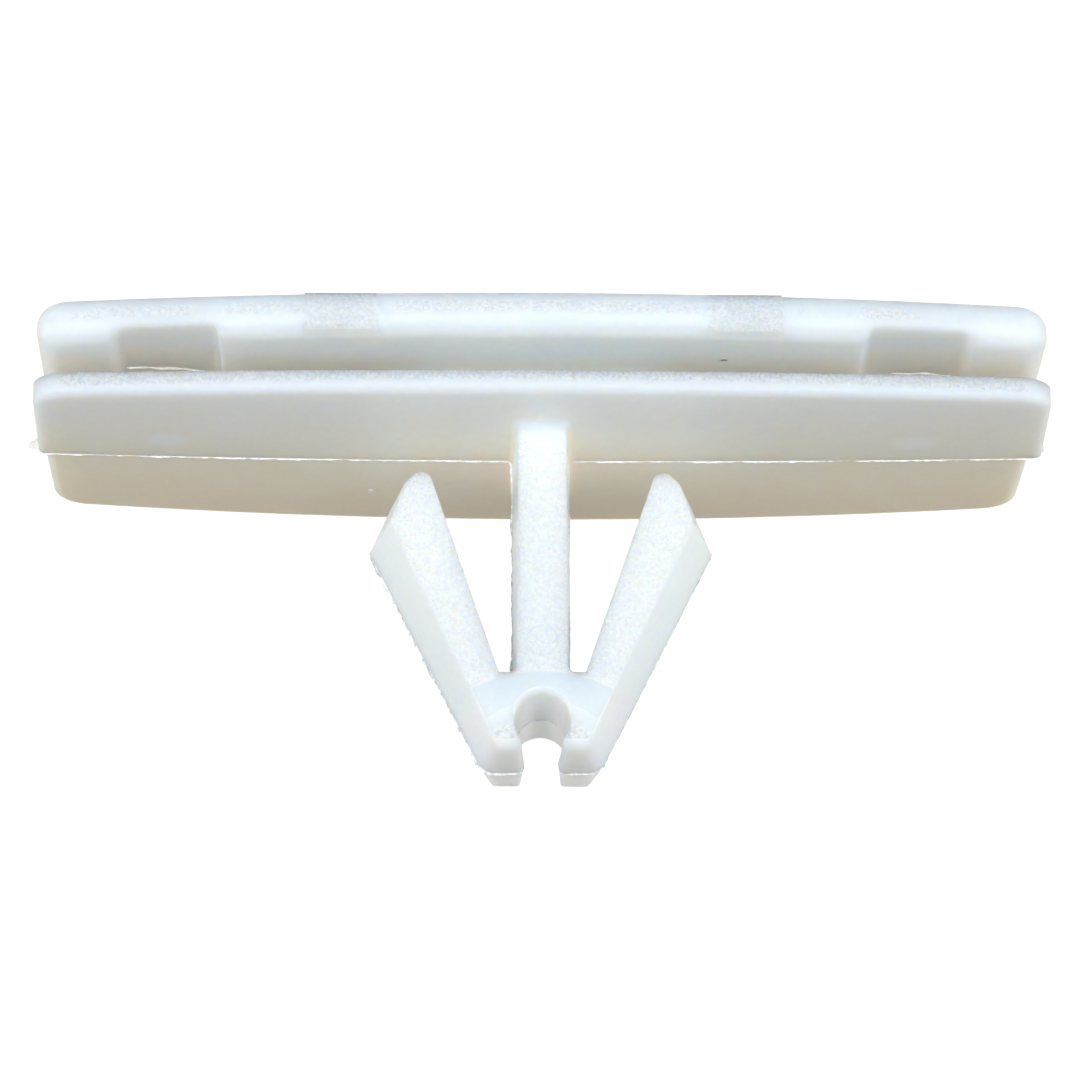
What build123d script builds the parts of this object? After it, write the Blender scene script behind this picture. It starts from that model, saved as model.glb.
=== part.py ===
from build123d import *

import math
import os

# Fender flare clip, moulded in one piece. Millimetres, +Z towards the nose of the anchor.
# The origin is the centre of the flat outer face of the head plate and X runs along the plates.
# The mould opens along Y, so every wall drafts away from the parting plane Y = 0.

# Head plate, the one that lies inside the channel of the flare
HEAD_HALF_LENGTH = 25.05
HEAD_HALF_WIDTH = 8.9
HEAD_END_HALF_WIDTH = 7.3
HEAD_THICKNESS = 2.3
HEAD_EDGE_RADIUS = 1.0
HEAD_CORNER_RADIUS = 1.8

# Square pads on the rounded edge of the head plate, where ejector pins push
PAD_OFFSET = 9.93
PAD_LENGTH = 3.6
PAD_DEPTH = 1.3
PAD_OUTER_MARGIN = 0.3
PAD_INNER_MARGIN = 0.12
PAD_PIN_RADIUS = 0.75

# Windows under the head plate, left by the thick ends of the groove cores
WINDOW_INNER = 16.1
WINDOW_OUTER = 21.2
WINDOW_DEPTH = 0.55
WINDOW_WALL_LEAN = 0.3
WINDOW_INNER_RADIUS = 0.3
WINDOW_OUTER_RADIUS = 0.85

# Neck that joins the two plates
NECK_LENGTH = 14.0
NECK_WIDTH = 6.4
NECK_CORNER_RADIUS = 2.5
GROOVE_HEIGHT = 1.95

# Seat plate, the one that bears on the panel
SEAT_FRONT_HALF_LENGTH = 25.25
SEAT_BACK_HALF_LENGTH = 24.75
SEAT_BACK_SHIFT = 0.15
SEAT_HALF_WIDTH = 8.85
SEAT_END_HALF_WIDTH = 7.35
SEAT_THICKNESS = 1.45
SEAT_BOW = 0.3
SEAT_FRONT_END_DRAFT = 0.15
SEAT_BACK_END_DRAFT = 0.1
SEAT_FRONT_CORNER_RADIUS = 1.9
SEAT_BACK_CORNER_RADIUS = 1.8
SEAT_PANEL_EDGE_RADIUS = 0.4

# Anchor outline on the parting plane. Heights run from the seat plate towards the nose.
ANCHOR_LENGTH = 16.55
STEM_HALF_WIDTH = 1.425
STEM_ROOT_CHAMFER = 0.2
ROOT_SLOPE = 45.0
CROTCH_X = 1.98
CROTCH_HEIGHT = 12.4
CROTCH_RADIUS = 0.45
LEG_INNER_ANGLE = 18.6
LEG_TIP_RADIUS = 0.55
KNEE_X = 7.6
KNEE_HEIGHT = 3.5
KNEE_ANGLE = 45.0
KNEE_RADIUS = 0.6
BARB_X = 8.55
BARB_HEIGHT = 5.05
BARB_RADIUS = 0.15
LEG_OUTER_ANGLE = 26.2
TOE_OUTER_RADIUS = 1.0
TOE_INNER_RADIUS = 0.3
KEYHOLE_RADIUS = 1.22
KEYHOLE_HEIGHT = 14.97
KEYHOLE_RIM_CHAMFER = 0.22
SLOT_HALF_WIDTH = 0.86
SLOT_MOUTH_RADIUS = 0.3

# Depth of the anchor on either side of the parting plane, and the step near its nose
ANCHOR_ROOT_DEPTH = 4.85
ANCHOR_FACE_SLOPE = 2.5
TOE_DEPTH = 3.55
STEP_TOP_HEIGHT = 12.6
STEP_OUTER_RADIUS = 7.1
STEP_INNER_RADIUS = 5.1
STEP_ANGLE = 18.0
BACK_HALF_INSET = 0.25
FRONT_NOSE_RADIUS = 1.0
BACK_NOSE_RADIUS = 1.7

# Flanks of the legs, which lean in from the parting line so that the barbs enter a hole
FLANK_DRAFT = 13.0
BARB_LEAN = 18.0

# Pin marks on the legs and values shared by every wall of the mould
LEG_PIN_RADIUS = 0.95
LEG_PIN_X = 6.15
LEG_PIN_HEIGHT = 5.45
FACE_DRAFT = 1.2
SIDE_DRAFT = 3.0
WITNESS_DEPTH = 0.04

# Levels and reaches that follow from the sizes above
SEAT_LEVEL = HEAD_THICKNESS + GROOVE_HEIGHT
PANEL_LEVEL = SEAT_LEVEL + SEAT_THICKNESS
ROOT_EMBED = SEAT_THICKNESS / 2
REACH = 2 * SEAT_FRONT_HALF_LENGTH
FRONT = -1
BACK = 1

# Turns what is drawn flat, with heights along Y, so that it stands on the parting plane
STAND = Rot(90, 0, 0)


def rise(run, degrees):
    """Height gained over a run at an angle."""
    return run * math.tan(math.radians(degrees))


def half_plan(side, half_length, half_width, end_half_width, end_draft, corner_radius):
    """Plan of one mould half of a plate, from the parting plane out to its crowned side."""
    tip = half_length - end_draft
    crown = ThreePointArc(
        (-tip, side * end_half_width), (0, side * half_width), (tip, side * end_half_width)
    )
    sides = Polyline(crown @ 1, (half_length, 0), (-half_length, 0), crown @ 0)
    face = make_face([crown, sides])
    corners = face.vertices().sort_by(lambda vertex: side * vertex.Y)[2:]
    return fillet(corners, corner_radius)


def half_section(side, low, high, low_draft, high_draft):
    """Cross-section of one mould half, its two faces drafted away from the parting plane."""
    outer = REACH / 2
    points = [
        (0, low),
        (side * outer, low + rise(outer, low_draft)),
        (side * outer, high - rise(outer, high_draft)),
        (0, high),
    ]
    return make_face(Plane.YZ * Polyline(points, close=True))


def rims_above(solid, level):
    """Edges round the plan that lie above a level, without those on the parting plane."""
    edges = solid.edges().filter_by(lambda edge: abs(edge.center().Y) > HEAD_THICKNESS / 4)
    return edges.filter_by(lambda edge: edge.center().Z > level)


def rims_below(solid, level):
    """Edges round the plan that lie below a level, without those on the parting plane."""
    edges = solid.edges().filter_by(lambda edge: abs(edge.center().Y) > HEAD_THICKNESS / 4)
    return edges.filter_by(lambda edge: edge.center().Z < level)


def head_half(side):
    """One mould half of the head plate, flat on both faces, its rim rounded over."""
    plan = half_plan(
        side, HEAD_HALF_LENGTH, HEAD_HALF_WIDTH, HEAD_END_HALF_WIDTH, 0, HEAD_CORNER_RADIUS
    )
    half = extrude(plan, HEAD_THICKNESS)
    quarter = HEAD_THICKNESS / 4
    rims = rims_above(half, HEAD_THICKNESS - quarter) + rims_below(half, quarter)
    return fillet(rims, HEAD_EDGE_RADIUS)


def crown_at(x):
    """Half width of the head plate at a distance along it."""
    sag = HEAD_HALF_WIDTH - HEAD_END_HALF_WIDTH
    radius = (HEAD_HALF_LENGTH**2 + sag**2) / (2 * sag)
    return HEAD_HALF_WIDTH - radius + math.sqrt(radius**2 - x**2)


def ejector_pad(x):
    """Square pad flush with the rounded front edge, with the round mark of its pin."""
    face_y = -crown_at(x)
    height = HEAD_THICKNESS - PAD_OUTER_MARGIN - PAD_INNER_MARGIN
    middle = PAD_OUTER_MARGIN + height / 2
    block = Pos(x, face_y + PAD_DEPTH / 2, middle) * Box(PAD_LENGTH, PAD_DEPTH, height)
    mark = Pos(x, face_y, middle) * Rot(90, 0, 0) * Cylinder(PAD_PIN_RADIUS, 2 * WITNESS_DEPTH)
    return block, mark


def window_cutter(side):
    """Core end that thins the head plate from below, crisp inside and soft outside."""
    floor = HEAD_THICKNESS - WINDOW_DEPTH
    mouth = HEAD_THICKNESS + GROOVE_HEIGHT / 2
    lean = WINDOW_WALL_LEAN * (mouth - floor)
    points = [
        (side * (WINDOW_INNER - lean), mouth),
        (side * WINDOW_INNER, floor),
        (side * WINDOW_OUTER, floor),
        (side * (WINDOW_OUTER + lean), mouth),
    ]
    face = make_face(Polyline(points, close=True))
    face = fillet(nearest(face, side * WINDOW_INNER, floor), WINDOW_INNER_RADIUS)
    face = fillet(nearest(face, side * WINDOW_OUTER, floor), WINDOW_OUTER_RADIUS)
    return STAND * extrude(face, 2 * HEAD_HALF_WIDTH, both=True)


def nearest(face, x, y):
    """The corner of a face that lies nearest to a point of its plane."""
    return face.vertices().sort_by(lambda vertex: math.hypot(vertex.X - x, vertex.Y - y))[0]


def head_plate():
    """Head plate with its pads, pin marks and windows."""
    plate = head_half(FRONT) + head_half(BACK)
    for x in (-PAD_OFFSET, PAD_OFFSET):
        block, mark = ejector_pad(x)
        plate = plate + block - mark
    for side in (-1, 1):
        plate = plate - window_cutter(side)
    return plate


def neck():
    """Block that carries the seat plate on the head plate."""
    plan = RectangleRounded(NECK_LENGTH, NECK_WIDTH, NECK_CORNER_RADIUS)
    foot = HEAD_THICKNESS / 2
    top = SEAT_LEVEL + SEAT_THICKNESS / 2
    return extrude(Pos(0, 0, foot) * plan, top - foot)


def seat_half(side, half_length, end_draft, corner_radius, shift):
    """One mould half of the seat plate, bowed so that its ends lean to the head plate."""
    plan = half_plan(
        side, half_length, SEAT_HALF_WIDTH, SEAT_END_HALF_WIDTH, end_draft, corner_radius
    )
    section = half_section(side, SEAT_LEVEL, PANEL_LEVEL, FACE_DRAFT, FACE_DRAFT)
    bow_radius = SEAT_FRONT_HALF_LENGTH**2 / (2 * SEAT_BOW)
    turn = math.degrees(REACH / bow_radius)
    centre = Axis((0, 0, PANEL_LEVEL - bow_radius), (0, 1, 0))
    strip = revolve(section.rotate(centre, -turn / 2), centre, turn)
    half = extrude(Pos(shift, 0, SEAT_LEVEL / 2) * plan, PANEL_LEVEL) & strip
    middle = (SEAT_LEVEL + PANEL_LEVEL - SEAT_BOW) / 2
    quarter = SEAT_THICKNESS / 4
    return fillet(rims_above(half, middle + quarter), SEAT_PANEL_EDGE_RADIUS)


def seat_plate():
    """Seat plate: the back half is shorter and set over, as the mould halves left it."""
    front = seat_half(
        FRONT, SEAT_FRONT_HALF_LENGTH, SEAT_FRONT_END_DRAFT, SEAT_FRONT_CORNER_RADIUS, 0
    )
    back = seat_half(
        BACK,
        SEAT_BACK_HALF_LENGTH,
        SEAT_BACK_END_DRAFT,
        SEAT_BACK_CORNER_RADIUS,
        SEAT_BACK_SHIFT,
    )
    return front + back


def leg_tip():
    """Sharp point where the inner side of a leg would meet its shoulder."""
    inner = math.tan(math.radians(LEG_INNER_ANGLE))
    shoulder = math.tan(math.radians(KNEE_ANGLE))
    drop = (CROTCH_X + CROTCH_HEIGHT * inner - KNEE_X + KNEE_HEIGHT * shoulder) / (inner + shoulder)
    return CROTCH_X + (CROTCH_HEIGHT - drop) * inner, drop


def toe_x(height):
    """Where the outer side of a leg stands at a height."""
    return BARB_X - rise(height - BARB_HEIGHT, LEG_OUTER_ANGLE)


def mirrored(half):
    """A closed outline from the corners of its right half."""
    return half + [(-x, height) for x, height in reversed(half)]


def drafted(outline, depth, draft):
    """Prism from the parting plane to the front, its walls drawn in by the draft."""
    return STAND * extrude(make_face(Polyline(outline, close=True)), depth, taper=draft)


def edge_from(solid, x, height):
    """The edge that leaves the parting plane at a corner of the outline."""
    deep = solid.edges().filter_by(lambda edge: abs(edge.tangent_at(0.5).Y) > 0.8)
    return deep.sort_by(lambda edge: distance_at_parting(edge, x, height))[0]


def distance_at_parting(edge, x, height):
    """Distance on the parting plane between an edge and a corner of the outline."""
    end = min(edge @ 0, edge @ 1, key=lambda point: abs(point.Y))
    return math.hypot(end.X - x, end.Z - height)


def leg(side, depth):
    """One barbed leg: inner side, rounded tip, knee, barb and outer side down to the toe."""
    tip_x, tip_height = leg_tip()
    toe = (toe_x(ANCHOR_LENGTH), ANCHOR_LENGTH)
    foot = (CROTCH_X - rise(ANCHOR_LENGTH - CROTCH_HEIGHT, LEG_INNER_ANGLE), ANCHOR_LENGTH)
    corners = [foot, (tip_x, tip_height), (KNEE_X, KNEE_HEIGHT), (BARB_X, BARB_HEIGHT), toe]
    prism = drafted([(side * x, height) for x, height in corners][::side], depth, SIDE_DRAFT)
    prism = fillet(edge_from(prism, side * tip_x, tip_height), LEG_TIP_RADIUS)
    prism = fillet(edge_from(prism, side * KNEE_X, KNEE_HEIGHT), KNEE_RADIUS)
    prism = fillet(edge_from(prism, side * BARB_X, BARB_HEIGHT), BARB_RADIUS)
    return fillet(edge_from(prism, side * toe[0], toe[1]), TOE_OUTER_RADIUS)


def w_prism(depth):
    """Stem, hub and two legs, each drafted on its own, joined at the crotches."""
    stem = mirrored([(STEM_HALF_WIDTH, -ROOT_EMBED), (STEM_HALF_WIDTH, KEYHOLE_HEIGHT)])
    hub = [(toe_x(h) - TOE_OUTER_RADIUS, h) for h in (CROTCH_HEIGHT, KEYHOLE_HEIGHT)]
    body = drafted(stem, depth, SIDE_DRAFT) + drafted(mirrored(hub), depth, SIDE_DRAFT)
    body = body + leg(-1, depth) + leg(1, depth)
    crotches = [edge_from(body, side * STEM_HALF_WIDTH, CROTCH_HEIGHT) for side in (-1, 1)]
    return fillet(crotches, CROTCH_RADIUS)


def keyhole(depth):
    """Keyhole notch between the toes, wider towards the face by the draft."""
    growth = rise(depth, SIDE_DRAFT)
    place = Pos(0, 0, KEYHOLE_HEIGHT) * STAND
    bore = place * Cone(
        KEYHOLE_RADIUS,
        KEYHOLE_RADIUS + growth,
        depth,
        align=(Align.CENTER, Align.CENTER, Align.MIN),
    )
    wedge = [
        (-SLOT_HALF_WIDTH, 0),
        (-SLOT_HALF_WIDTH - growth, -depth),
        (SLOT_HALF_WIDTH + growth, -depth),
        (SLOT_HALF_WIDTH, 0),
    ]
    slot = extrude(Pos(0, 0, KEYHOLE_HEIGHT) * make_face(Polyline(wedge, close=True)), REACH)
    return bore + slot


def flank_outline():
    """Outline that the outer flanks of the legs follow, open wide at root and nose."""
    root = -ANCHOR_ROOT_DEPTH
    nose = ANCHOR_LENGTH + ANCHOR_ROOT_DEPTH / 2
    half = [
        (BARB_X - rise(BARB_HEIGHT - root, BARB_LEAN), root),
        (BARB_X, BARB_HEIGHT),
        (toe_x(nose), nose),
    ]
    return mirrored(half)


def depth_at(height):
    """How far the anchor's face stands from the parting plane at a height."""
    return ANCHOR_ROOT_DEPTH - rise(height, ANCHOR_FACE_SLOPE)


def face_trim(inset, nose_radius):
    """Wedge between the parting plane and the sloping face, its corner at the nose rounded."""
    nose = (inset - TOE_DEPTH, ANCHOR_LENGTH)
    points = [
        (0, -ROOT_EMBED),
        (inset - depth_at(-ROOT_EMBED), -ROOT_EMBED),
        nose,
        (0, ANCHOR_LENGTH),
    ]
    profile = make_face(Polyline(points, close=True))
    rounded = fillet(profile.vertices().sort_by_distance(nose)[0], nose_radius)
    return extrude(Plane.YZ * rounded, REACH / 2, both=True)


def nose_step(inset):
    """Conical step round the nose, down to the flat faces of the toes."""
    floor = inset - TOE_DEPTH
    outside = 2 * floor
    spread = (floor - outside) / math.tan(math.radians(STEP_ANGLE))
    points = [
        (0, floor),
        (STEP_INNER_RADIUS, floor),
        (STEP_INNER_RADIUS + spread, outside),
        (0, outside),
    ]
    centre = STEP_TOP_HEIGHT + STEP_OUTER_RADIUS
    profile = make_face(Pos(0, 0, centre) * Polyline(points, close=True))
    return revolve(profile, Axis((0, 0, centre), (0, 1, 0)))


def keyhole_rim(inset):
    """Countersink that breaks the rim of the keyhole, long enough to clear the step round it."""
    floor = inset - TOE_DEPTH
    narrow = KEYHOLE_RADIUS + rise(-floor, SIDE_DRAFT) - KEYHOLE_RIM_CHAMFER
    reach = ANCHOR_ROOT_DEPTH - TOE_DEPTH + KEYHOLE_RIM_CHAMFER
    place = Pos(0, floor + KEYHOLE_RIM_CHAMFER, KEYHOLE_HEIGHT) * Rot(90, 0, 0)
    return place * Cone(
        narrow, narrow + reach, reach, align=(Align.CENTER, Align.CENTER, Align.MIN)
    )


def anchor_half(inset, nose_radius):
    """Front half of the anchor, less the inset and nose rounding that the back half has."""
    reach = depth_at(-ROOT_EMBED)
    notched = w_prism(reach) - keyhole(reach)
    mouth = KEYHOLE_HEIGHT + math.sqrt(KEYHOLE_RADIUS**2 - SLOT_HALF_WIDTH**2)
    for height, radius in ((mouth, SLOT_MOUTH_RADIUS), (ANCHOR_LENGTH, TOE_INNER_RADIUS)):
        pair = [edge_from(notched, side * SLOT_HALF_WIDTH, height) for side in (-1, 1)]
        notched = fillet(pair, radius)
    flanks = drafted(flank_outline(), reach, FLANK_DRAFT)
    half = notched & flanks & face_trim(inset, nose_radius)
    return half - nose_step(inset) - keyhole_rim(inset)


def leg_pin_mark(x):
    """Round mark of an ejector pin on the face of a leg."""
    place = Pos(x, -depth_at(LEG_PIN_HEIGHT), LEG_PIN_HEIGHT) * Rot(90 - ANCHOR_FACE_SLOPE, 0, 0)
    return place * Cylinder(LEG_PIN_RADIUS, 2 * WITNESS_DEPTH)


def anchor():
    """Both mould halves of the anchor, standing on the seat plate."""
    front = anchor_half(0, FRONT_NOSE_RADIUS)
    back = anchor_half(BACK_HALF_INSET, BACK_NOSE_RADIUS).mirror(Plane.XZ)
    whole = front + back
    for x in (-LEG_PIN_X, LEG_PIN_X):
        whole = whole - leg_pin_mark(x)
    return Pos(0, 0, PANEL_LEVEL) * whole


def root_skirt():
    """Sloped skirt round the root of the stem, its foot sunk into the seat plate."""
    spread = STEM_ROOT_CHAMFER + ROOT_EMBED
    front = -ANCHOR_ROOT_DEPTH
    back = ANCHOR_ROOT_DEPTH - BACK_HALF_INSET
    half = [
        (STEM_HALF_WIDTH - rise(-front, SIDE_DRAFT), front),
        (STEM_HALF_WIDTH, 0),
        (STEM_HALF_WIDTH - rise(back, SIDE_DRAFT), back),
    ]
    foot = offset(make_face(Polyline(mirrored(half), close=True)), spread, kind=Kind.INTERSECTION)
    return Pos(0, 0, PANEL_LEVEL - ROOT_EMBED) * extrude(foot, spread, taper=ROOT_SLOPE)


def clip():
    """The whole clip as one moulded solid."""
    return head_plate() + neck() + seat_plate() + root_skirt() + anchor()


os.makedirs("parts", exist_ok=True)
export_step(clip(), "parts/clip_body.step")
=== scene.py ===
"""Looks of the fender flare clip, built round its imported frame.

The clip stands on the outer face of its head plate with the anchor up, in metres.
The camera looks at its front and anchor side, turned so that the anchor points down.
"""

import logging
import math
from collections.abc import Callable
from dataclasses import dataclass
from enum import Enum
from functools import cached_property, partial, reduce

import bmesh
import bpy
from bmesh.types import BMEdge, BMesh, BMVert
from mathutils import Matrix, Vector, noise


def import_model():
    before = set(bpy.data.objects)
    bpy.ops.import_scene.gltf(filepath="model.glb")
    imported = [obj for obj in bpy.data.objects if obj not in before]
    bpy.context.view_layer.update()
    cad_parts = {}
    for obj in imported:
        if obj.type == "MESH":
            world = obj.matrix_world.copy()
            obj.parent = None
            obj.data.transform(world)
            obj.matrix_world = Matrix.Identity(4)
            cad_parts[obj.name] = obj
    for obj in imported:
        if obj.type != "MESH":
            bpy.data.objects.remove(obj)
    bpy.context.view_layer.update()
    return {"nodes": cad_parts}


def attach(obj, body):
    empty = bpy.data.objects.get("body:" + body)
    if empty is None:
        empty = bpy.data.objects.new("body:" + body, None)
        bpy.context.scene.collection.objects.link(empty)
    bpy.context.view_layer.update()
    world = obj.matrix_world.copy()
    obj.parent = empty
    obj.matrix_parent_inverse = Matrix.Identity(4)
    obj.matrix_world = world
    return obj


logging.basicConfig(level=logging.INFO, format="%(message)s")
LOG = logging.getLogger("clip")

MM = 0.001
BODY = "root"
NODE = "clip_body"
NYLON_IOR = 1.53

Pair = tuple[float, float]
Triple = tuple[float, float, float]
# An edge is the value where something starts and the value where it is full.
Edge = Pair
Rgb = Triple
Socket = bpy.types.NodeSocket

CLEAR_NYLON: Rgb = (0.70, 0.785, 0.83)
HEAD_PLATE: Edge = (3.6, 3.2)


class Stretch(Enum):
    """Stretch of the parting line, each with its own mean height of flash in mm."""

    NONE = -0.05
    PANEL_FACE = 0.066
    LEFT_LEG = 0.11
    RIGHT_LEG = 0.045
    STEM_SIDE = 0.075
    TOE = 0.085
    ELSEWHERE = 0.03


class Speckle(Enum):
    """Soft noise of the finishes, each with its steps for each mm and its detail."""

    CLOUDS = (0.16, 3.0)
    # Moves the edges of the painted warm shade.
    SHADE_WANDER = (0.35, 2.0)
    BREAKS = (0.45, 2.0)
    FLOW = (0.55, 2.0)
    WISPS = (0.9, 3.0)
    MOTTLING = (2.4, 4.0)
    BEADS = (3.5, 3.0)
    # Grain speckle: partly the grain's own mottling, partly painted glints.
    GRAIN_AND_GLINTS = (5.0, 3.0)
    RIPPLES = (6.0, 2.0)
    DUST = (8.0, 3.0)
    RAGS = (9.0, 2.0)


class NodeBoard:
    """Short way to lay and join shader nodes in one tree."""

    def __init__(self, tree: bpy.types.NodeTree) -> None:
        """Clears the tree.

        Args:
            tree: Node tree of a material or a world.
        """
        self.tree = tree
        self.tree.nodes.clear()

    def add(self, kind: str, inputs: dict | None = None, **settings: object) -> bpy.types.Node:
        """Adds a node.

        Args:
            kind: Node type without the leading "ShaderNode".
            inputs: Socket name or number to a value or to an output socket.
            settings: Properties of the node.

        Returns:
            The new node.
        """
        node = self.tree.nodes.new("ShaderNode" + kind)
        for name, value in settings.items():
            setattr(node, name, value)
        for key, value in (inputs or {}).items():
            self.plug(node.inputs[key], value)
        return node

    def plug(self, socket: Socket, value: object) -> None:
        """Links an output socket to the socket, or sets its value.

        Args:
            socket: Input socket of a node.
            value: Output socket or plain value.
        """
        if isinstance(value, Socket):
            self.tree.links.new(value, socket)
        else:
            socket.default_value = value

    def math(self, operation: str, *values: object) -> Socket:
        """Returns the result of a Math node on numbers or sockets."""
        return self.add("Math", dict(enumerate(values)), operation=operation).outputs[0]

    def vector(self, operation: str, *values: object) -> Socket:
        """Returns the vector result of a Vector Math node."""
        return self.add("VectorMath", dict(enumerate(values)), operation=operation).outputs[0]

    def product(self, *values: object) -> Socket:
        """Returns all the values multiplied."""
        return reduce(partial(self.math, "MULTIPLY"), values)

    def most(self, *values: object) -> Socket:
        """Returns the largest of the values."""
        return reduce(partial(self.math, "MAXIMUM"), values)

    def less(self, value: object) -> Socket:
        """Returns 1 minus the value."""
        return self.math("SUBTRACT", 1.0, value)

    def parts(self, value: object) -> tuple[Socket, Socket, Socket]:
        """Returns the X, Y and Z of a vector."""
        return tuple(self.add("SeparateXYZ", {0: value}).outputs)

    def length(self, value: object) -> Socket:
        """Returns the length of a vector."""
        return self.add("VectorMath", {0: value}, operation="LENGTH").outputs[1]

    def span(self, value: object, edge: Edge, smooth: bool = True) -> Socket:
        """Lays a soft edge.

        Args:
            value: Value that crosses the edge, upwards or downwards.
            edge: Value where the result leaves 0 and value where it reaches 1.
            smooth: Whether the way between is a smooth curve rather than a straight line.

        Returns:
            Socket that runs from 0 to 1.
        """
        kind = "SMOOTHSTEP" if smooth else "LINEAR"
        inputs = {"Value": value, "From Min": edge[0], "From Max": edge[1]}
        return self.add("MapRange", inputs, interpolation_type=kind).outputs[0]

    def between(self, value: object, ends: Edge, fade: float = 0.1) -> Socket:
        """Lays a stretch with two soft edges.

        Args:
            value: Value that may lie in the stretch.
            ends: Its low and high end.
            fade: Width of the soft edges outside the ends.

        Returns:
            Socket that is 1 between the ends and 0 further out than the fade.
        """
        low, high = ends
        rise = self.span(value, (low - fade, low))
        return self.product(rise, self.span(value, (high + fade, high)))

    def blend(self, share: object, first: object, second: object) -> Socket:
        """Returns a colour between first and second by the share of the second."""
        # The Mix node takes colours at its inputs 6 and 7 and gives one at its output 2.
        return self.add("Mix", {0: share, 6: first, 7: second}, data_type="RGBA").outputs[2]

    def bump(self, height: object, strength: object, distance: float, **inputs: object) -> Socket:
        """Returns the normal raised by a height, at most by the distance in mm."""
        wanted = {"Height": height, "Strength": strength, "Distance": distance * MM, **inputs}
        return self.add("Bump", wanted).outputs[0]


class SkinBoard(NodeBoard):
    """Board of a material, which tells where the shaded point lies and which way it looks."""

    @cached_property
    def place(self) -> Socket:
        """Returns the object position, in mm."""
        source = self.add("TexCoord").outputs["Object"]
        return self.vector("MULTIPLY", source, (1 / MM,) * 3)

    @cached_property
    def off(self) -> Socket:
        """Returns the distance from the middle along X, in mm."""
        return self.math("ABSOLUTE", self.parts(self.place)[0])

    @cached_property
    def y(self) -> Socket:
        """Returns the Y, in mm."""
        return self.parts(self.place)[1]

    @cached_property
    def z(self) -> Socket:
        """Returns the height, in mm."""
        return self.parts(self.place)[2]

    @cached_property
    def facing(self) -> tuple[Socket, Socket, Socket]:
        """Returns the shares of the normal along X, Y and Z, without their signs."""
        normal = self.add("TexCoord").outputs["Normal"]
        return self.parts(self.vector("ABSOLUTE", normal))

    def speckle(self, kind: Speckle) -> Socket:
        """Lays soft noise.

        Args:
            kind: Which noise.

        Returns:
            Socket from 0 to 1.
        """
        scale, detail = kind.value
        inputs = {"Vector": self.place, "Scale": scale, "Detail": detail}
        return self.add("TexNoise", inputs).outputs[0]

    def from_axis(self, x: float, z: float) -> Socket:
        """Returns the distance in mm from an axis along Y through x and z."""
        away = self.vector("SUBTRACT", self.place, (x, 0.0, z))
        return self.length(self.vector("MULTIPLY", away, (1.0, 0.0, 1.0)))


def rgba(colour: Rgb) -> tuple[float, float, float, float]:
    """Returns the colour with full alpha."""
    return (*colour, 1.0)


def new_material(name: str, shade: Callable[[SkinBoard], Socket]) -> bpy.types.Material:
    """Makes a material out of nodes.

    Args:
        name: Its name.
        shade: Lays the nodes on a board and returns the shader's socket.

    Returns:
        The new material.
    """
    material = bpy.data.materials.new(name)
    material.use_nodes = True
    board = SkinBoard(material.node_tree)
    board.add("OutputMaterial", {"Surface": shade(board)})
    return material


def new_object(name: str, data: bpy.types.ID) -> bpy.types.Object:
    """Puts an object into the scene.

    Args:
        name: Its name.
        data: Its mesh, lamp or camera.

    Returns:
        The new object.
    """
    thing = bpy.data.objects.new(name, data)
    bpy.context.scene.collection.objects.link(thing)
    return thing


@dataclass(frozen=True)
class Spot:
    """Small part of the surface with a colour laid over it: a real fleck or a painted sheen patch.

    Attributes:
        centre: Place of its middle, in mm.
        half: Half sizes along X, Y and Z, in mm.
        colour: Colour at its middle.
        edge: Where its colour starts and where it is full, in half sizes from its middle.
        share: Share of its colour in its middle.
        ragged: How far noise moves its edge, in half sizes.
    """

    centre: Triple
    half: Triple
    colour: Rgb
    edge: Edge
    share: float = 1.0
    ragged: float = 0.0

    def lay(self, board: SkinBoard, base: Socket) -> Socket:
        """Lays the spot over a colour.

        Args:
            board: Board of the material.
            base: Colour under it.

        Returns:
            Colour with the spot.
        """
        away = board.vector("SUBTRACT", board.place, self.centre)
        away = board.length(board.vector("DIVIDE", away, self.half))
        if self.ragged:
            away = board.math("MULTIPLY_ADD", board.speckle(Speckle.RAGS), self.ragged, away)
        share = board.product(board.span(away, self.edge), self.share)
        return board.blend(share, base, rgba(self.colour))


@dataclass(frozen=True)
class PinMark:
    """Faint ring that an ejector pin left on the anchor.

    Attributes:
        x: X of its middle, in mm.
        z: Height of its middle, in mm.
        radius: Its radius, in mm.
        rim: Distance from the radius where the ring starts and where it is full, in mm.
    """

    x: float
    z: float
    radius: float
    rim: Edge = (0.09, 0.02)

    def mask(self, board: SkinBoard) -> Socket:
        """Returns a mask of the ring."""
        off = board.math("SUBTRACT", board.from_axis(self.x, self.z), self.radius)
        return board.span(board.math("ABSOLUTE", off), self.rim)


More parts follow.
